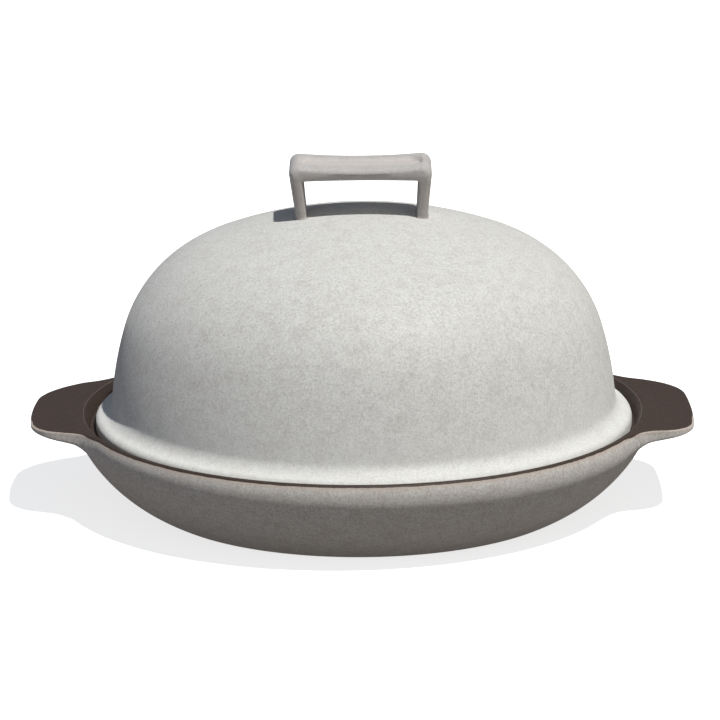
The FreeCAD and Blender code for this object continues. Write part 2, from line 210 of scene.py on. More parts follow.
def corner(before, at, after, radius, spacing=0.3):
    """The arc that rounds a corner between two straight sides."""
    before, at, after = (np.array(p, float) for p in (before, at, after))
    one = (before - at) / np.linalg.norm(before - at)
    two = (after - at) / np.linalg.norm(after - at)
    half = math.acos(np.clip(one @ two, -1, 1)) / 2
    middle = (one + two) / np.linalg.norm(one + two)
    centre = at + middle * radius / math.sin(half)
    first, last = (direction(centre, at + way * radius / math.tan(half)) for way in (one, two))
    sweep = (last - first + 180) % 360 - 180
    return arc(centre, radius, first, first + sweep, spacing)


# Meshes of closed rows of points


def lathe_faces(rows, columns):
    """Quads between neighbouring rows, and a fan from each end row to its tip. Tips are the last points."""
    faces = []
    for row in range(rows - 1):
        near, far = row * columns, (row + 1) * columns
        for column in range(columns):
            after = (column + 1) % columns
            faces.append((near + column, far + column, far + after, near + after))
    first_tip, last_tip = rows * columns, rows * columns + 1
    last = (rows - 1) * columns
    for column in range(columns):
        after = (column + 1) % columns
        faces.append((first_tip, column, after))
        faces.append((last_tip, last + after, last + column))
    return faces


def make_piece(name, grid, tips, slot, node, **attributes):
    """A smooth mesh in metres from rows of points and two tips in millimetres, standing for a CAD node."""
    points = np.concatenate([grid.reshape(-1, 3), tips]) * MM
    faces = lathe_faces(*grid.shape[:2])
    mesh = bpy.data.meshes.new(name)
    mesh.from_pydata(points.tolist(), [], faces)
    mesh.polygons.foreach_set("use_smooth", [True] * len(faces))
    for title, values in attributes.items():
        layer = mesh.attributes.new(title, "FLOAT", "POINT")
        layer.data.foreach_set("value", values)
    piece = bpy.data.objects.new(name, mesh)
    bpy.context.scene.collection.objects.link(piece)
    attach(piece, "root")
    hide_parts(node)
    return piece


# Lid: the bell

BELL_COLUMNS = 288


def bell_profile():
    """The section's outline from the top of the crown round the flange to the inside of the crown."""
    crown_centre = np.array([0.0, LID_TOP - CROWN_RADIUS])
    foot = np.array(SKIRT_FOOT)
    skirt_centre = foot - SKIRT_RADIUS * turned(SKIRT_FOOT_LEAN)
    skirt_top = foot[1] + SKIRT_HEIGHT

    # The shoulder carries the skirt's curve on at their joint and touches the crown from inside
    joint = outer_point(skirt_centre, SKIRT_RADIUS, skirt_top)
    normal = (joint - skirt_centre) / SKIRT_RADIUS
    across = joint - crown_centre
    shoulder_radius = (across @ across - CROWN_RADIUS**2) / (2 * (across @ normal - CROWN_RADIUS))
    shoulder_centre = joint - normal * shoulder_radius
    upper = direction(crown_centre, shoulder_centre)
    lower = direction(skirt_centre, joint)

    # The cove touches the skirt from outside and lies on the flange's slope
    edge = np.array([FLANGE_RADIUS, FLANGE_EDGE_HEIGHT])
    base = foot + [0, FLANGE_RISE]
    slope = (edge - base) / np.linalg.norm(edge - base)
    lift = np.array([-slope[1], slope[0]]) * COVE_RADIUS
    start = base + lift - skirt_centre
    reach = SKIRT_RADIUS + COVE_RADIUS
    along = -(start @ slope) + math.sqrt((start @ slope) ** 2 - start @ start + reach**2)
    cove_centre = base + lift + slope * along
    cove_top = direction(skirt_centre, cove_centre)
    cove_foot = cove_centre - lift
    cove_end = direction(cove_centre, cove_foot) + 360

    inner_radius = SKIRT_RADIUS - LID_WALL
    inner_foot = outer_point(skirt_centre, inner_radius, SEAT_HEIGHT)
    low_edge = [FLANGE_RADIUS, SEAT_HEIGHT]
    top_round = corner(cove_foot, edge, low_edge, FLANGE_TOP_ROUND)
    low_round = corner(edge, low_edge, inner_foot, FLANGE_LOWER_ROUND)
    foot_round = corner(low_edge, inner_foot, [inner_foot[0], skirt_top], LID_FOOT_ROUND)
    inner_start = direction(skirt_centre, foot_round[-1])
    return chain(
        arc(crown_centre, CROWN_RADIUS, UP, upper),
        arc(shoulder_centre, shoulder_radius, upper, lower),
        arc(skirt_centre, SKIRT_RADIUS, lower, cove_top),
        arc(cove_centre, COVE_RADIUS, cove_top + 180, cove_end, spacing=0.7),
        run(cove_foot, top_round[0], spacing=0.8),
        top_round,
        run(top_round[-1], low_round[0], spacing=0.8),
        low_round,
        run(low_round[-1], foot_round[0]),
        foot_round,
        arc(skirt_centre, inner_radius, inner_start, lower, spacing=2.5),
        arc(shoulder_centre, shoulder_radius - LID_WALL, lower, upper, spacing=2.5),
        arc(crown_centre, CROWN_RADIUS - LID_WALL, upper, UP, spacing=2.5),
    )


def make_bell():
    profile = bell_profile()[1:-1]
    radius, height = profile[:, :1], profile[:, 1:]
    angles = np.linspace(0, 2 * np.pi, BELL_COLUMNS, endpoint=False)[None, :]
    # The unevenness fades out in the middle of the crown and at the seat
    off_middle = np.clip(radius / BELL_CALM_RADIUS, 0, 1)
    off_seat = np.clip((height - SEAT_HEIGHT) / BELL_CALM_HEIGHT, 0, 1)
    fade = off_middle * off_seat
    radius = radius + waviness(angles, height) * fade - UNEVENNESS * fade
    x, y = LID_SHIFT + radius * np.cos(angles), radius * np.sin(angles)
    grid = np.stack([x, y, height + 0 * angles], axis=-1)
    tips = [[LID_SHIFT, 0, LID_TOP], [LID_SHIFT, 0, LID_TOP - LID_WALL]]
    return make_piece("bell", grid, tips, "lid_glaze", "domed_lid")


# Lid: the bridge handle

LEG_POINTS = 56
BEND_POINTS = 18
HALF_BAR_POINTS = 72
BAR_SAMPLES = 400
OUTER_FACE_POINTS = 70
INNER_FACE_POINTS = 34
EDGE_POINTS = 10


def crown_height(x, y):
    return LID_TOP - CROWN_RADIUS + np.sqrt(CROWN_RADIUS**2 - x**2 - y**2)


def half_depth(height):
    """Half the handle's depth: round shoulders at the top, and a straight line from them to the foot."""
    foot = np.array([-HANDLE_FOOT_HALF_DEPTH, LEG_FOOT_HEIGHT])
    centre = np.array([SHOULDER_RADIUS - HANDLE_HALF_DEPTH, HANDLE_TOP - SHOULDER_DROP])
    gap = np.linalg.norm(centre - foot)
    reach = math.sqrt(gap**2 - SHOULDER_RADIUS**2)
    way = (centre - foot) / gap
    # Here the straight line touches the round shoulder
    touch = foot + way * reach**2 / gap + np.array([-way[1], way[0]]) * reach * SHOULDER_RADIUS / gap
    line = -(foot[0] + (touch[0] - foot[0]) * (height - foot[1]) / (touch[1] - foot[1]))
    fall = np.clip(centre[1] - height, 0, SHOULDER_RADIUS)
    rounded = -centre[0] + np.sqrt(SHOULDER_RADIUS**2 - fall**2)
    return np.where(height < touch[1], line, rounded)


def sampled(points, count):
    """A number of evenly spaced points along a curve."""
    share = np.linspace(0, 1, count)
    reach = np.concatenate([[0], np.cumsum(np.linalg.norm(np.diff(points, axis=0), axis=1))])
    return np.stack([np.interp(share * reach[-1], reach, points[:, k]) for k in (0, 1)], axis=-1)


def strap_path(foot, bend, bar_height):
    """From the left foot round the bend and over the bar to the right foot, which mirrors the left."""
    x = np.linspace(bend[-1][0], 0, BAR_SAMPLES)
    left = np.concatenate([
        sampled(np.array([foot, bend[0]]), LEG_POINTS),
        sampled(bend, BEND_POINTS + 1)[1:],
        sampled(np.stack([x, bar_height(x)], axis=-1), HALF_BAR_POINTS + 1)[1:],
    ])
    return np.concatenate([left, left[:-1][::-1] * [-1, 1]])


def handle_paths():
    """The strap's inner and outer outline, seen from the front, point for point."""
    half, foot = HANDLE_HALF_WIDTH, HANDLE_HALF_WIDTH - LEG_LEAN
    inner_half = half - LEG_TOP_THICKNESS
    saddle = HANDLE_TOP - SADDLE_DIP
    underside = saddle - BAR_THICKNESS - ARCH_RISE

    def saddle_height(x):
        return saddle + SADDLE_DIP * (x / half) ** 2

    def arch_height(x):
        return underside + ARCH_RISE * (1 - (x / inner_half) ** 2)

    def path(foot_x, top, aim, rounding, bar_height):
        bottom = [foot_x, LEG_BOTTOM]
        bend = corner(bottom, top, [aim, bar_height(aim)], rounding, spacing=0.01)
        return strap_path(bottom, bend, bar_height)

    inner_top, outer_top = [-inner_half, underside], [-half, HANDLE_TOP]
    inner_aim, outer_aim = -half + OPENING_CORNER_AIM, -half + HANDLE_CORNER_AIM
    inner = path(LEG_FOOT_THICKNESS - foot, inner_top, inner_aim, OPENING_CORNER_ROUND, arch_height)
    outer = path(-foot, outer_top, outer_aim, HANDLE_CORNER_ROUND, saddle_height)
    return inner, outer


def handle_section(thickness, inner_depth, outer_depth):
    """Points round the strap's section: their fall below its outer face, and their place in its depth.
    They run along the outer face to the back, round it, along the inner face to the front and round that."""
    rounding = np.minimum(HANDLE_EDGE_ROUND, thickness * HANDLE_EDGE_SHARE)
    inner_rounding = np.minimum(HANDLE_INNER_EDGE_ROUND, thickness * HANDLE_INNER_EDGE_SHARE)
    outer_flat, inner_flat = outer_depth - rounding, inner_depth - inner_rounding
    back = []
    quarter = np.linspace(0, np.pi / 2, EDGE_POINTS)[1:-1]
    for angle in quarter:
        back.append((rounding * (1 - np.cos(angle)), outer_flat + rounding * np.sin(angle)))
    for angle in quarter[::-1]:
        fall = thickness - inner_rounding * (1 - np.cos(angle))
        back.append((fall, inner_depth - inner_rounding * (1 - np.sin(angle))))
    front = [(fall, -depth) for fall, depth in reversed(back)]
    outer_face = [(0 * thickness, share * outer_flat) for share in np.linspace(-1, 1, OUTER_FACE_POINTS)]
    inner_face = [(thickness, share * inner_flat) for share in np.linspace(1, -1, INNER_FACE_POINTS)]
    falls, depths = zip(*outer_face, *back, *inner_face, *front)
    return np.array(falls).T, np.array(depths).T


def recess_share(x, y):
    """1 on the recess's flat floor, 0 outside it, and in between on its soft walls."""
    out_x = np.abs(x) - (RECESS_HALF_LENGTH - RECESS_CORNER)
    out_y = np.abs(y + RECESS_AHEAD) - (RECESS_HALF_WIDTH - RECESS_CORNER)
    beyond = np.hypot(np.maximum(out_x, 0), np.maximum(out_y, 0))
    edge = beyond + np.minimum(np.maximum(out_x, out_y), 0) - RECESS_CORNER
    return eased(0.5 - edge / RECESS_WALL)


def spread_feet(x, y, z, thickness, depth):
    """Widens the strap where it meets the dome."""
    rise = z - crown_height(x, y)
    low = np.clip(HANDLE_ROOT_ROUND - rise, 0, HANDLE_ROOT_ROUND)
    flare = HANDLE_ROOT_ROUND - np.sqrt(HANDLE_ROOT_ROUND**2 - low**2)
    centre = (x.min(axis=1, keepdims=True) + x.max(axis=1, keepdims=True)) / 2
    side, end = (x - centre) / (thickness / 2), y / depth
    push_x = np.sign(side) * np.abs(side) ** ROOT_SIDE_POWER
    push_y = np.sign(end) * np.abs(end) ** ROOT_END_POWER
    size = np.maximum(np.hypot(push_x, push_y), ROOT_LEAST_PUSH)
    return x + flare * push_x / size, y + flare * push_y / size


def make_handle():
    inner, outer = handle_paths()
    inner_depth, outer_depth = half_depth(inner[:, 1]), half_depth(outer[:, 1])
    thickness = np.linalg.norm(outer - inner, axis=1)
    across = (outer - inner) / thickness[:, None]
    fall, y = handle_section(thickness, inner_depth, outer_depth)
    x = outer[:, :1] - across[:, :1] * fall
    z = outer[:, 1:] - across[:, 1:] * fall

    # The bare recess for the thumbs
    floor = HANDLE_TOP - SADDLE_DIP - RECESS_DEPTH
    on_top = (fall < TOUCH) & (z > floor)
    in_recess = np.where(on_top, recess_share(x, y), 0)
    z = z + (floor - z) * in_recess

    # The left leg leans in more, the feet spread, and the back half is a little deeper
    down = np.clip((HANDLE_TOP - z) / (HANDLE_TOP - LEG_FOOT_HEIGHT), 0, 1)
    x = x + np.where(x < 0, LEFT_LEG_LEAN, 0) * down
    x, y = spread_feet(x, y, z, thickness[:, None], np.maximum(inner_depth, outer_depth)[:, None])
    y = np.where(y > 0, y * HANDLE_BACK_STRETCH, y)

    grid = np.stack([x + HANDLE_SHIFT, y, z], axis=-1)
    tips = [grid[0].mean(axis=0), grid[-1].mean(axis=0)]
    shares = np.append(in_recess.ravel(), [0, 0])
    return make_piece("bridge_handle", grid, tips, "lid_glaze", "domed_lid", in_recess=shares)


# Dish: distances to its form, negative inside


def round_join(first, second, radius):
    """Distance to two forms together, with the hollow between them filled to a radius."""
    near = np.hypot(np.maximum(radius - first, 0), np.maximum(radius - second, 0))
    return np.maximum(radius, np.minimum(first, second)) - near


def round_meet(first, second, radius):
    """Distance to what two forms share, with the edge between them rounded to a radius."""
    far = np.hypot(np.maximum(first + radius, 0), np.maximum(second + radius, 0))
    return np.minimum(-radius, np.maximum(first, second)) + far


def along_lug(x):
    """0 up to the rim, and 1 at a lug's tip."""
    return np.clip((x - RIM_RADIUS) / (LUG_REACH - RIM_RADIUS), 0, 1)


class LugPlan:
    """The lugs seen from above."""

    def __init__(self):
        root_x, root_y = LUG_ROOT
        taper = math.radians(LUG_TAPER)
        corner_x = LUG_REACH - LUG_END_BOW
        corner_y = root_y - math.tan(taper) * (corner_x - root_x)
        self.end_radius = (corner_y**2 + LUG_END_BOW**2) / (2 * LUG_END_BOW)
        self.end_centre = np.array([LUG_REACH - self.end_radius, 0.0])
        self.side = np.array([math.sin(taper), math.cos(taper)])
        self.offset = self.side @ LUG_ROOT
        # The rounded corner's centre lies a corner radius inside both the side and the end
        inner_radius = self.end_radius - LUG_CORNER
        sideways = self.offset - LUG_CORNER - self.side @ self.end_centre
        outwards = math.sqrt(inner_radius**2 - sideways**2)
        along_side = np.array([self.side[1], -self.side[0]])
        self.corner = self.end_centre + sideways * self.side + outwards * along_side
        self.end_way = (self.corner - self.end_centre) / inner_radius

    def distance(self, x, y):
        y = np.abs(y - self.unevenness(x, y))
        # Only the right lug lies at a positive x
        x = np.abs(x) + RIGHT_LUG_SHORTER * along_lug(x)
        to_x, to_y = x - self.corner[0], y - self.corner[1]
        side = self.side[0] * x + self.side[1] * y - self.offset
        end = np.hypot(x - self.end_centre[0], y) - self.end_radius
        rounded = np.hypot(to_x, to_y) - LUG_CORNER
        past_end = self.end_way[0] * to_y - self.end_way[1] * to_x
        before_side = to_x * self.side[1] - to_y * self.side[0]
        return np.where(past_end < 0, end, np.where(before_side < 0, side, rounded))

    def unevenness(self, x, y):
        """How far the plan is pushed to the back, by its back side behind and its front side ahead."""
        out = along_lug(np.abs(x))
        behind = eased(0.5 + y / LUG_SIDES_MEET)
        pushes = []
        for lug in ("right", "left"):
            back, front = (root + (tip - root) * out for root, tip in LUG_UNEVENNESS[lug])
            pushes.append(back * behind - front * (1 - behind))
        return np.where(x > 0, *pushes)


class Wall:
    """The dish's side: a round lip, widest below the rim, and a larger arc from it down to the foot."""

    def __init__(self):
        self.way = turned(-LIP_ANGLE)
        self.upper_centre = np.array([RIM_RADIUS - LIP_UPPER_RADIUS, LIP_HEIGHT])
        self.lip_centre = np.array([RIM_RADIUS - LIP_RADIUS, LIP_HEIGHT])
        joint = self.lip_centre + LIP_RADIUS * self.way
        reach = joint - [FOOT_RADIUS, 0.0]
        self.radius = reach @ reach / (2 * reach @ self.way)
        self.centre = joint - self.radius * self.way
        # The foot's rounded edge touches the larger arc from inside
        self.foot_centre = outer_point(self.centre, self.radius - FOOT_ROUND, FOOT_ROUND)
        self.foot_angle = direction(self.centre, self.foot_centre)

    def distance(self, radius, height):
        to_r, to_z = radius - self.lip_centre[0], height - self.lip_centre[1]
        on_lip = to_z * self.way[0] - to_r * self.way[1] > 0
        upper = np.hypot(radius - self.upper_centre[0], to_z) - LIP_UPPER_RADIUS
        lower = np.hypot(radius - self.centre[0], height - self.centre[1]) - self.radius
        return np.where(to_z > 0, upper, np.where(on_lip, np.hypot(to_r, to_z) - LIP_RADIUS, lower))

    def point(self, angle, depth):
        """A point at a depth under the surface, where the surface faces along an angle."""
        if angle >= 0:
            return self.upper_centre + (LIP_UPPER_RADIUS - depth) * turned(angle)
        if angle >= -LIP_ANGLE:
            return self.lip_centre + (LIP_RADIUS - depth) * turned(angle)
        return self.centre + (self.radius - depth) * turned(angle)


# Dish: steps round it, rows of points from its floor to its foot, and the ends of its flat parts

LUG_SECTOR = 30
LUG_STEP = 0.5
SIDE_STEP = 1.5
TOP_ROWS = 13
EDGE_ROWS = 21
UNDER_ROWS = 18
LIP_ROWS = 13
WALL_ROWS = 39
ROOT_BLEND_ROWS = 20
MIDDLE_RADIUS = 3.0
RING_END_MARGIN = 0.5

# Rays from inside the form to its surface: they start at depths below the rim and insets from its edge

TRACING_STEPS = 90
EDGE_START_RADIUS = 148.0
EDGE_DEPTH = 0.4
LUG_START_WIDTH = 4.0
RIM_FLAT_INSET = 0.6
LUG_FLAT_INSET = 2.0
HUB_DEPTH = 1.9
WALL_START_DEPTH = 4.0
ROOT_INSET = 0.9
ROOT_OUTSET_UNDER_LUG = 3.4
ROOT_DEPTH = 4.2
WALL_HUB_DEPTH = 5.0

# Bare clay: how far it reaches over the edge of the rim and, growing from one y to another, of the lugs

CLAY_OVER_RIM = 1.9
CLAY_OVER_LUGS = 2.0
CLAY_START_Y = -28.0
CLAY_FULL_Y = -4.0
CLAY_LEAST_ON_TOP = 1.6
GLAZE_UNDER_LUGS = 8.0
FULLY_BARE = 9.0
FULLY_GLAZED = -5.0
# No painted highlight
NO_RIM_HIGHLIGHT = 0.0


def dish_angles():
    """Fine steps round the lugs, wider ones between them."""
    lug = np.arange(-LUG_SECTOR, LUG_SECTOR, LUG_STEP)
    side = np.arange(LUG_SECTOR, 180 - LUG_SECTOR, SIDE_STEP)
    half = np.concatenate([lug, side])
    return np.radians(np.concatenate([half, half + 180]))


def steps(start, end, count):
    """Even steps that leave out the start and reach the end."""
    return np.linspace(start, end, count + 1)[1:]


class DishForm:
    """The dish's outer form in all directions round its axis."""

    def __init__(self, angles):
        self.cos, self.sin = np.cos(angles), np.sin(angles)
        self.plan = LugPlan()
        self.wall = Wall()
        self.slope = (LUG_ROOT_THICKNESS - LUG_TIP_THICKNESS) / (LUG_REACH - RIM_RADIUS)

        # The reach just below the top, a share from 0 on the rim to 1 on a lug, and where the flat top ends
        self.edge, _ = self.traced(EDGE_START_RADIUS, RIM_HEIGHT - EDGE_DEPTH, angle=0, distance=self.uncut)
        self.lugness = eased((self.edge - RIM_RADIUS) / LUG_START_WIDTH)
        self.flat_end = self.edge - RIM_FLAT_INSET - LUG_FLAT_INSET * self.lugness

        # The last of the edge's rays run along the wall's own direction, or straight down under a lug
        wall_way = direction(self.wall.upper_centre, [RIM_RADIUS, RIM_HEIGHT - WALL_START_DEPTH])
        self.last_way = wall_way + (DOWN - wall_way) * self.lugness
        self.hub = (self.flat_end, RIM_HEIGHT - HUB_DEPTH)
        self.root = (RIM_RADIUS - ROOT_INSET + ROOT_OUTSET_UNDER_LUG * self.lugness, RIM_HEIGHT - ROOT_DEPTH)

        share = (self.edge * self.sin - CLAY_START_Y) / (CLAY_FULL_Y - CLAY_START_Y)
        self.clay_over = CLAY_OVER_RIM * (1 - self.lugness) + CLAY_OVER_LUGS * self.lugness * eased(share)
        self.rim_round = corner(
            [SEAT_OUTER_RADIUS, SEAT_HEIGHT],
            [RIM_INNER_RADIUS, RIM_HEIGHT],
            [RIM_RADIUS, RIM_HEIGHT],
            RIM_INNER_ROUND,
            spacing=0.12,
        )

    def uncut(self, radius, height):
        """Distance to wall and lugs as if they had no flat top."""
        x, y = radius * self.cos, radius * self.sin
        underside = RIM_HEIGHT - LUG_TIP_THICKNESS - self.slope * (LUG_REACH - np.abs(x))
        below = (underside - height) / math.hypot(1, self.slope)
        lug = round_meet(self.plan.distance(x, y), below, LUG_LOWER_ROUND)
        return round_join(self.wall.distance(radius, height), lug, LUG_ROOT_BLEND)

    def distance(self, radius, height):
        droop = LUG_DROOP * eased(along_lug(np.abs(radius * self.cos)))
        return round_meet(self.uncut(radius, height), height - RIM_HEIGHT + droop, RIM_ROUND)

    def traced(self, radius, height, angle, distance=None):
        """Radius and height where rays reach the surface. They start inside and rise by an angle."""
        distance = distance or self.distance
        way_r, way_z = turned(angle).T
        reach = np.zeros(len(self.cos))
        for _ in range(TRACING_STEPS):
            reach = reach - distance(radius + way_r * reach, height + way_z * reach)
        return radius + way_r * reach, height + way_z * reach

    def bareness(self, outer, radius, height):
        """How far a point lies inside the edge of the bare clay, where the form reaches out to a radius."""
        return outer - radius - (RIM_HEIGHT - height) + self.clay_over

    def wall_bareness(self, radius, height):
        """The same for the wall, with a large step down that keeps the lugs' undersides glazed."""
        return self.bareness(self.edge.min(), radius, height) - GLAZE_UNDER_LUGS * self.lugness


# Dish: rows of points, each with radius, height, bareness and painted highlight


def inside_rows(form):
    """Floor, bowl, ledge, sloping wall and the rim's inner edge, which gets a painted highlight at the lugs.
    """
    mouth = SEAT_OUTER_RADIUS - SEAT_WIDTH
    deep = SEAT_HEIGHT - FLOOR_HEIGHT
    bowl_centre = [mouth - math.sqrt(deep * (2 * FLOOR_CORNER - deep)), FLOOR_HEIGHT + FLOOR_CORNER]
    bowl_end = direction(bowl_centre, [mouth, SEAT_HEIGHT])
    bowl = arc(bowl_centre, FLOOR_CORNER, DOWN, bowl_end, spacing=1.6)
    ledge = [SEAT_OUTER_RADIUS, SEAT_HEIGHT]
    inner_rim = [RIM_INNER_RADIUS, RIM_HEIGHT]
    mouth_round = corner(bowl[-2], bowl[-1], ledge, MOUTH_ROUND, spacing=0.15)
    ledge_round = corner([mouth, SEAT_HEIGHT], ledge, inner_rim, SEAT_CORNER_ROUND, spacing=0.15)
    inside = chain(
        run([MIDDLE_RADIUS, FLOOR_HEIGHT], [bowl[0][0], FLOOR_HEIGHT], spacing=4.0),
        bowl[:-1],
        mouth_round,
        run(mouth_round[-1], ledge_round[0], spacing=0.8),
        ledge_round,
        run(ledge_round[-1], form.rim_round[0], spacing=0.8),
        form.rim_round,
    )
    # The rows of the rim's inner rounding carry the painted highlight
    highlight_rows = range(len(inside) - len(form.rim_round) + 1, len(inside) - 1)
    for number, (radius, height) in enumerate(inside):
        yield radius, height, FULLY_BARE, form.lugness if number in highlight_rows else NO_RIM_HIGHLIGHT


def top_rows(form):
    """Rim and lug tops, flat to where their outer edge starts to turn."""
    start = form.rim_round[-1][0]
    for share in steps(0, 1, TOP_ROWS):
        radius = start + (form.flat_end - start) * share
        radius, height = form.traced(radius, RIM_HEIGHT - HUB_DEPTH, UP)
        yield radius, height, np.maximum(form.edge - radius, CLAY_LEAST_ON_TOP), NO_RIM_HIGHLIGHT


def edge_rows(form):
    """The outer edge: rays that turn from straight up to the last way."""
    for share in steps(0, 1, EDGE_ROWS):
        radius, height = form.traced(*form.hub, UP + (form.last_way - UP) * share)
        yield radius, height, form.bareness(form.edge, radius, height), NO_RIM_HIGHLIGHT


def under_rows(form):
    """Under the lugs, straight down towards their roots. Beside the lugs these rows lie close together."""
    for share in steps(0, 1, UNDER_ROWS):
        start = (hub + (root - hub) * share for hub, root in zip(form.hub, form.root))
        radius, height = form.traced(*start, form.last_way)
        yield radius, height, form.wall_bareness(radius, height), NO_RIM_HIGHLIGHT


def wall_rows(form):
    """Round the root's hollow to the wall, and down the wall to the foot."""
    root_r, root_z = form.root
    first_way = direction(form.wall.upper_centre, [root_r.min(), root_z])
    lip_ways = steps(first_way, -LIP_ANGLE, LIP_ROWS)
    lower_ways = steps(-LIP_ANGLE, form.wall.foot_angle, WALL_ROWS)
    for number, way in enumerate([*lip_ways, *lower_ways], start=1):
        blend = eased(number / ROOT_BLEND_ROWS)
        wall_r, wall_z = form.wall.point(way, WALL_HUB_DEPTH)
        start_r = root_r + (wall_r - root_r) * blend
        start_z = root_z + (wall_z - root_z) * blend
        radius, height = form.traced(start_r, start_z, form.last_way + (way - form.last_way) * blend)
        yield radius, height, form.wall_bareness(radius, height), NO_RIM_HIGHLIGHT


def foot_rows(form):
    """The rounded edge, the ring that the dish stands on, and the recess inside it."""
    foot_centre = form.wall.foot_centre
    ring_inner = FOOT_RADIUS - FOOT_RING_WIDTH
    recess_edge = [ring_inner - FOOT_RECESS, FOOT_RECESS]
    under = chain(
        arc(foot_centre, FOOT_ROUND, form.wall.foot_angle, DOWN, spacing=0.2),
        run([foot_centre[0], 0], [ring_inner + RING_END_MARGIN, 0], spacing=2.0),
        corner([FOOT_RADIUS, 0], [ring_inner, 0], recess_edge, FOOT_ROUND, spacing=0.2),
        run(recess_edge, [MIDDLE_RADIUS, FOOT_RECESS], spacing=6.0),
    )
    for radius, height in under[1:]:
        yield radius, height, FULLY_GLAZED, NO_RIM_HIGHLIGHT


def make_dish():
    angles = dish_angles()
    form = DishForm(angles)
    rows = []
    for part in (inside_rows, top_rows, edge_rows, under_rows, wall_rows, foot_rows):
        for row in part(form):
            rows.append([np.broadcast_to(values, len(angles)) for values in row])
    radius, height, bare, worn = (np.array(values) for values in zip(*rows))

    # The unevenness fades out at the foot and inside the rim
    off_foot = np.clip(height / DISH_CALM_HEIGHT, 0, 1)
    off_seat = np.clip((radius - SEAT_OUTER_RADIUS) / DISH_CALM_WIDTH, 0, 1)
    radius = radius + (waviness(angles[None, :], height) - UNEVENNESS) * (off_foot * off_seat)

    grid = np.stack([radius * form.cos, radius * form.sin, height], axis=-1)
    tips = [[0, 0, FLOOR_HEIGHT], [0, 0, FOOT_RECESS]]
    bare_edge = np.append(bare.ravel(), [FULLY_BARE, FULLY_GLAZED])
    worn_edge = np.append(worn.ravel(), [NO_RIM_HIGHLIGHT, NO_RIM_HIGHLIGHT])
    return make_piece(
        "dish", grid, tips, "dish_glaze", "base_dish", bare_edge=bare_edge, worn_edge=worn_edge
    )


# Camera, as the photograph was taken: far away, above the rim and slightly rolled. Its distance is in metres

ELEVATION = 14.5
ROLL = 0.45
DISTANCE = 2.104
LENS = 200
SENSOR_WIDTH = 36
AIM_RIGHT = -1.1 * MM
AIM_UP = 24.6 * MM


def make_camera():
    data = bpy.data.cameras.new("camera")
    data.lens = LENS
    data.sensor_width = SENSOR_WIDTH
    camera = bpy.data.objects.new("camera", data)
    bpy.context.scene.collection.objects.link(camera)
    rise = math.radians(ELEVATION)
    back = Vector((0, -math.cos(rise), math.sin(rise)))
    up = Vector((0, math.sin(rise), math.cos(rise)))
    aim = Vector((AIM_RIGHT, 0, RIM_HEIGHT * MM)) + up * AIM_UP
    camera.location = aim + back * DISTANCE
    tilt = Matrix.Rotation(math.radians(90 - ELEVATION), 4, "X")
    roll = Matrix.Rotation(math.radians(-ROLL), 4, "Z")
    camera.rotation_euler = (tilt @ roll).to_euler()
    bpy.context.scene.camera = camera


# Node helpers


class Nodes:
    """Adds nodes to a material or world and joins them."""

    def __init__(self, owner):
        owner.use_nodes = True
        self.tree = owner.node_tree
        self.tree.nodes.clear()

    def feed(self, socket, source):
        """Joins a socket to another node's output, or sets it to a constant."""
        if isinstance(source, bpy.types.NodeSocket):
            self.tree.links.new(source, socket)
        else:
            socket.default_value = source

    def add(self, kind, inputs=None, **settings):
        node = self.tree.nodes.new(kind)
        for name, setting in settings.items():
            setattr(node, name, setting)
        for name, source in (inputs or {}).items():
            self.feed(node.inputs[name], source)
        return node

    def math(self, operation, first, second):
        return self.add("ShaderNodeMath", {0: first, 1: second}, operation=operation).outputs[0]

    def weighted(self, first, first_weight, second, second_weight):
        """The sum of two values, each times its weight."""
        one = self.math("MULTIPLY", first, first_weight)
        two = self.math("MULTIPLY", second, second_weight)
        return self.math("ADD", one, two)

    def ramp(self, value, low, high, smooth=True):
        """0 below low, 1 above high."""
        node = self.add("ShaderNodeMapRange", {"Value": value, "From Min": low, "From Max": high})
        node.interpolation_type = "SMOOTHSTEP" if smooth else "LINEAR"
        return node.outputs["Result"]

    def fall(self, value, low, high):
        """1 below low, 0 above high."""
        return self.math("SUBTRACT", 1.0, self.ramp(value, low, high))

    def mix(self, share, first, second, strength=None):
        """A colour between two others. A strength makes the share smaller."""
        if strength is not None:
            share = self.math("MULTIPLY", share, strength)
        node = self.add("ShaderNodeMix", data_type="RGBA")
        for title, source in (("Factor_Float", share), ("A_Color", first), ("B_Color", second)):
            self.feed(next(s for s in node.inputs if s.identifier == title), source)
        return next(s for s in node.outputs if s.identifier == "Result_Color")

    def noise(self, place, scale, detail, roughness=0.5):
        inputs = {"Vector": place, "Scale": scale, "Detail": detail, "Roughness": roughness}
        return self.add("ShaderNodeTexNoise", inputs).outputs["Fac"]

    def attribute(self, name):
        return self.add("ShaderNodeAttribute", attribute_name=name).outputs["Fac"]

    def height(self, place):
        return self.add("ShaderNodeSeparateXYZ", {"Vector": place}).outputs["Z"]

    def by_camera(self, seen, lighting):
        """What the camera sees directly, and what lights the rest."""
        path = self.add("ShaderNodeLightPath").outputs["Is Camera Ray"]
        return self.add("ShaderNodeMixShader", {0: path, 1: lighting, 2: seen}).outputs[0]


def srgb(red, green, blue):
    """A colour given as it looks on screen, 0 to 255."""

    def linear(level):
        level /= 255
        return level / 12.92 if level <= 0.04045 else ((level + 0.055) / 1.055) ** 2.4

    return (linear(red), linear(green), linear(blue), 1.0)


# Materials

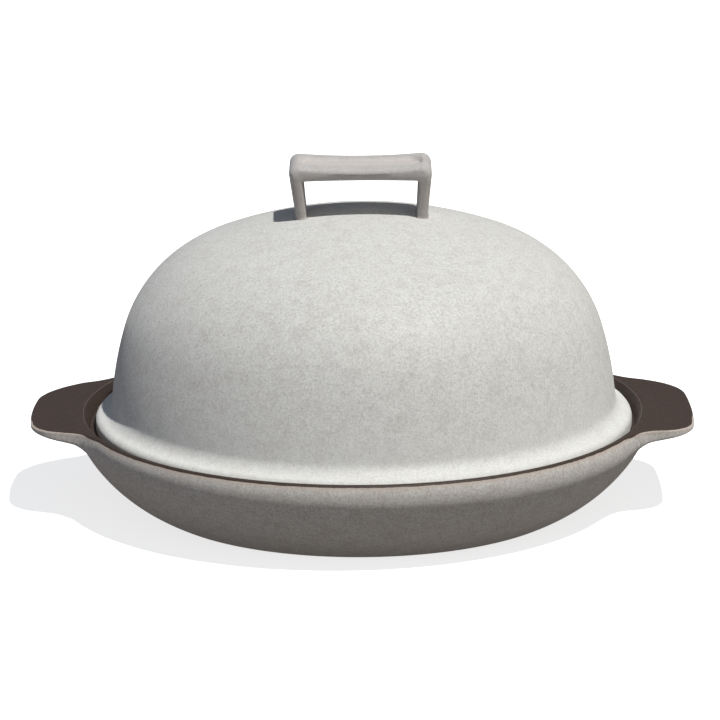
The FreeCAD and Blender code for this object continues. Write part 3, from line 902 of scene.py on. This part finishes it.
GRAIN_SIZE = 0.74 * MM
FINE_SHARE = 0.7
COARSE_SHARE = 0.3
COARSE_GRAIN_SCALE = 0.45 / GRAIN_SIZE
DOT_SCALE = 0.75 / GRAIN_SIZE
GREY_BELOW_MIDDLE = 0.17
PALE_ABOVE_MIDDLE = 0.12
BLOTCH_SIZE = 7 * MM
DIMPLE_SIZE = 3.2 * MM
CLAY_EDGE_SIZE = 4 * MM
CLAY_EDGE_DRIFT = 0.9
CLAY_GRAIN_SIZE = 1.1 * MM
DIMPLE_HEIGHT = 0.8
GRAIN_HEIGHT = 0.25
GRAIN_GLOSS = -0.10
SPECULAR = 0.32
DIFFUSE_ROUGHNESS = 0.35

# Each glaze: its colour, the darker grains in it and the brown of its dots and clouds

LID_GLAZE = (srgb(226, 226, 222), srgb(196, 195, 192), srgb(170, 156, 148))
HANDLE_GLAZE = (srgb(200, 197, 194), srgb(182, 178, 176), srgb(158, 145, 138))
# The dish's glaze is the lid's, painted darker and warmer as shade and floor bounce
SHADED_DISH_GLAZE = (srgb(209, 206, 200), srgb(177, 172, 168), srgb(151, 133, 122))
# Painted light: the lid's glaze turns paler from these heights down to the flange, which faces up into the
# sun
PAINTED_FLANGE_LIGHT = srgb(243, 243, 239)
PAINTED_FLANGE_LIGHT_HEIGHTS = (46 * MM, 84 * MM)
# Painted shade on the bar's front, underside and legs, below these heights
PAINTED_HANDLE_SHADE = srgb(168, 161, 155)
PAINTED_HANDLE_SHADE_HEIGHTS = (169 * MM, 179 * MM)
RECESS_GLAZE = srgb(214, 206, 202)
THIN_GLAZE = srgb(186, 165, 150)
DARK_CLAY = srgb(60, 49, 43)
PALE_CLAY = srgb(72, 60, 53)
# Painted highlight: a lighter line along the rim's inner edge at the lugs
RIM_EDGE_HIGHLIGHT = srgb(128, 114, 104)


def glaze_texture(nodes, place, colours, contrast):
    """Fine grains of darker clay that show through a pale glaze, and faint brown dots and clouds."""
    pale, grey, brown = colours
    fine = nodes.noise(place, 1 / GRAIN_SIZE, detail=2.0, roughness=0.6)
    coarse = nodes.noise(place, COARSE_GRAIN_SCALE, detail=1.0)
    grain = nodes.weighted(fine, FINE_SHARE, coarse, COARSE_SHARE)
    low, high = 0.5 - GREY_BELOW_MIDDLE / contrast, 0.5 + PALE_ABOVE_MIDDLE / contrast
    colour = nodes.mix(nodes.ramp(grain, low, high, smooth=False), grey, pale)
    dots = nodes.ramp(nodes.noise(place, DOT_SCALE, detail=1.0), low=0.66, high=0.74)
    colour = nodes.mix(dots, colour, brown, strength=0.35 * contrast)
    clouds = nodes.noise(place, 1 / BLOTCH_SIZE, detail=3.0, roughness=0.55)
    return nodes.mix(nodes.ramp(clouds, low=0.42, high=0.70), colour, brown, strength=0.16), grain


def glaze_surface(nodes, place, colour, grain, roughness, depth):
    """Soft dimples of the glaze and its grains, as a bump, and slightly uneven gloss."""
    dimples = nodes.noise(place, 1 / DIMPLE_SIZE, detail=2.0)
    height = nodes.weighted(dimples, DIMPLE_HEIGHT, grain, GRAIN_HEIGHT)
    bump = nodes.add("ShaderNodeBump", {"Height": height, "Strength": 1.0, "Distance": depth})
    gloss = nodes.ramp(grain, low=0.3, high=0.7, smooth=False)
    rough = nodes.math("ADD", nodes.math("MULTIPLY", gloss, GRAIN_GLOSS), roughness)
    shader = nodes.add(
        "ShaderNodeBsdfPrincipled",
        {
            "Base Color": colour,
            "Roughness": rough,
            "Specular IOR Level": SPECULAR,
            "Diffuse Roughness": DIFFUSE_ROUGHNESS,
            "Normal": bump.outputs["Normal"],
        },
    )
    nodes.add("ShaderNodeOutputMaterial", {"Surface": shader.outputs["BSDF"]})


def new_material(name, colours, contrast):
    """A new material, its nodes, the place on the object, and the colour and grain of its glaze."""
    material = bpy.data.materials.new(name)
    nodes = Nodes(material)
    place = nodes.add("ShaderNodeTexCoord").outputs["Object"]
    return material, nodes, place, *glaze_texture(nodes, place, colours, contrast)


def lid_material():
    """Speckled glaze, with painted light that makes it paler towards the flange."""
    material, nodes, place, colour, grain = new_material("lid_glaze", LID_GLAZE, contrast=1.1)
    # Painted light, paler towards the flange
    flange_light = nodes.fall(nodes.height(place), *PAINTED_FLANGE_LIGHT_HEIGHTS)
    colour = nodes.mix(flange_light, colour, PAINTED_FLANGE_LIGHT, strength=0.25)
    glaze_surface(nodes, place, colour, grain, roughness=0.60, depth=0.10 * MM)
    return material


def handle_material():
    """Glaze with painted shade that darkens it below the bar's top, and a paler one in the recess."""
    material, nodes, place, colour, grain = new_material("handle_glaze", HANDLE_GLAZE, contrast=1.0)
    # Painted shade below the bar's top
    low = nodes.fall(nodes.height(place), *PAINTED_HANDLE_SHADE_HEIGHTS)
    colour = nodes.mix(low, colour, PAINTED_HANDLE_SHADE, strength=0.55)
    colour = nodes.mix(nodes.attribute("in_recess"), colour, RECESS_GLAZE, strength=0.5)
    glaze_surface(nodes, place, colour, grain, roughness=0.58, depth=0.08 * MM)
    return material


def dish_material():
    """Speckled glaze outside, darkened and warmed as painted shade, and bare dark clay inside, on the rim
    and on the lugs' tops, with a painted highlight along the rim's inner edge at the lugs.
    """
    material, nodes, place, colour, grain = new_material("dish_glaze", SHADED_DISH_GLAZE, contrast=1.2)
    drift = nodes.noise(place, 1 / CLAY_EDGE_SIZE, detail=3.0, roughness=0.6)
    drift = nodes.math("MULTIPLY", nodes.math("SUBTRACT", drift, 0.5), CLAY_EDGE_DRIFT)
    inset = nodes.math("ADD", nodes.attribute("bare_edge"), drift)
    bare = nodes.ramp(inset, low=0.15, high=0.55)
    thin = nodes.ramp(inset, low=-2.8, high=0.0)
    clay_grain = nodes.noise(place, 1 / CLAY_GRAIN_SIZE, detail=3.0, roughness=0.6)
    clay = nodes.mix(nodes.ramp(clay_grain, low=0.35, high=0.65), DARK_CLAY, PALE_CLAY)
    # Painted highlight along the rim's inner edge at the lugs
    clay = nodes.mix(nodes.attribute("worn_edge"), clay, RIM_EDGE_HIGHLIGHT, strength=0.55)
    colour = nodes.mix(bare, nodes.mix(thin, colour, THIN_GLAZE, strength=0.5), clay)
    glaze_surface(nodes, place, colour, grain, roughness=0.62, depth=0.10 * MM)
    return material


# Light, backdrop and floor

WHITE = (1.0, 1.0, 1.0, 1.0)
HORIZON_LEFT = (0.058, 0.10, 0.19, 1.0)
HORIZON_RIGHT = (0.33, 0.33, 0.33, 1.0)
UPPER_SKY = (0.07, 0.08, 0.10, 1.0)
FRONT_LIFT = 0.36
SUN_STRENGTH = 3.1
SUN_ANGLE = 1.5
SUN_COLOUR = (1.0, 0.99, 0.96)
SUN_FROM = (0.31, -0.39, 1.0)
FLOOR_HALF = 6.0
FLOOR_COLOUR = srgb(225, 225, 225)
FLOOR_GLOW = 0.72
DULL_FLOOR = (0.11, 0.105, 0.10, 1.0)
FLOOR_BOUNCE = (1.0, 0.91, 0.84, 1.0)
FLOOR_BOUNCE_STRENGTH = 0.13


def make_sky():
    """White to the camera. The pot is lit by a sky, darker and bluer on the left and lifted in front."""
    world = bpy.data.worlds.new("studio")
    bpy.context.scene.world = world
    nodes = Nodes(world)
    way = nodes.add("ShaderNodeTexCoord").outputs["Generated"]
    x, y, z = nodes.add("ShaderNodeSeparateXYZ", {"Vector": way}).outputs
    horizon = nodes.mix(nodes.ramp(x, low=-0.8, high=0.8), HORIZON_LEFT, HORIZON_RIGHT)
    colour = nodes.mix(nodes.ramp(z, low=0.05, high=0.75), horizon, UPPER_SKY)
    band = nodes.math("MULTIPLY", nodes.ramp(z, low=0.0, high=0.4), nodes.fall(z, low=0.5, high=0.95))
    ahead = nodes.ramp(nodes.math("MULTIPLY", y, -1.0), low=0.0, high=0.8)
    lift = nodes.math("MULTIPLY", band, nodes.math("MULTIPLY", ahead, FRONT_LIFT))
    high_sky = nodes.add("ShaderNodeBackground", {"Color": colour, "Strength": 1.0}).outputs[0]
    low_sky = nodes.add("ShaderNodeBackground", {"Color": WHITE, "Strength": lift}).outputs[0]
    sky = nodes.add("ShaderNodeAddShader", {0: high_sky, 1: low_sky}).outputs[0]
    plain = nodes.add("ShaderNodeBackground", {"Color": WHITE, "Strength": 1.0}).outputs[0]
    nodes.add("ShaderNodeOutputWorld", {"Surface": nodes.by_camera(seen=plain, lighting=sky)})


def make_sun():
    sun = bpy.data.lights.new("key", "SUN")
    sun.energy = SUN_STRENGTH
    sun.angle = math.radians(SUN_ANGLE)
    sun.color = SUN_COLOUR
    key = bpy.data.objects.new("key", sun)
    key.rotation_mode = "QUATERNION"
    key.rotation_quaternion = Vector(SUN_FROM).to_track_quat("Z", "Y")
    bpy.context.scene.collection.objects.link(key)


def make_floor():
    """Bright to the camera, as a studio's sheet. The pot is lit by a dull and slightly warm floor."""
    mesh = bpy.data.meshes.new("floor")
    corners = [(x * FLOOR_HALF, y * FLOOR_HALF, 0) for x, y in ((-1, -1), (1, -1), (1, 1), (-1, 1))]
    mesh.from_pydata(corners, [], [(0, 1, 2, 3)])
    floor = bpy.data.objects.new("floor", mesh)
    bpy.context.scene.collection.objects.link(floor)
    material = bpy.data.materials.new("floor")
    nodes = Nodes(material)

    def glowing(colour, glow_colour, strength):
        surface = nodes.add("ShaderNodeBsdfDiffuse", {"Color": colour}).outputs[0]
        glow = nodes.add("ShaderNodeEmission", {"Color": glow_colour, "Strength": strength}).outputs[0]
        return nodes.add("ShaderNodeAddShader", {0: surface, 1: glow}).outputs[0]

    sheet = glowing(FLOOR_COLOUR, WHITE, FLOOR_GLOW)
    dull = glowing(DULL_FLOOR, FLOOR_BOUNCE, FLOOR_BOUNCE_STRENGTH)
    nodes.add("ShaderNodeOutputMaterial", {"Surface": nodes.by_camera(seen=sheet, lighting=dull)})
    mesh.materials.append(material)


make_camera()
make_sky()
make_sun()
make_floor()
lid_glaze = lid_material()
dish_glaze = dish_material()
handle_glaze = handle_material()
pieces = ((make_bell(), lid_glaze), (make_handle(), handle_glaze), (make_dish(), dish_glaze))
for piece, material in pieces:
    piece.data.materials.append(material)
for node, material in (("domed_lid", lid_glaze), ("base_dish", dish_glaze)):
    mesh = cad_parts[node].data
    mesh.materials.clear()
    mesh.materials.append(material)

bpy.context.scene.view_settings.view_transform = "Standard"
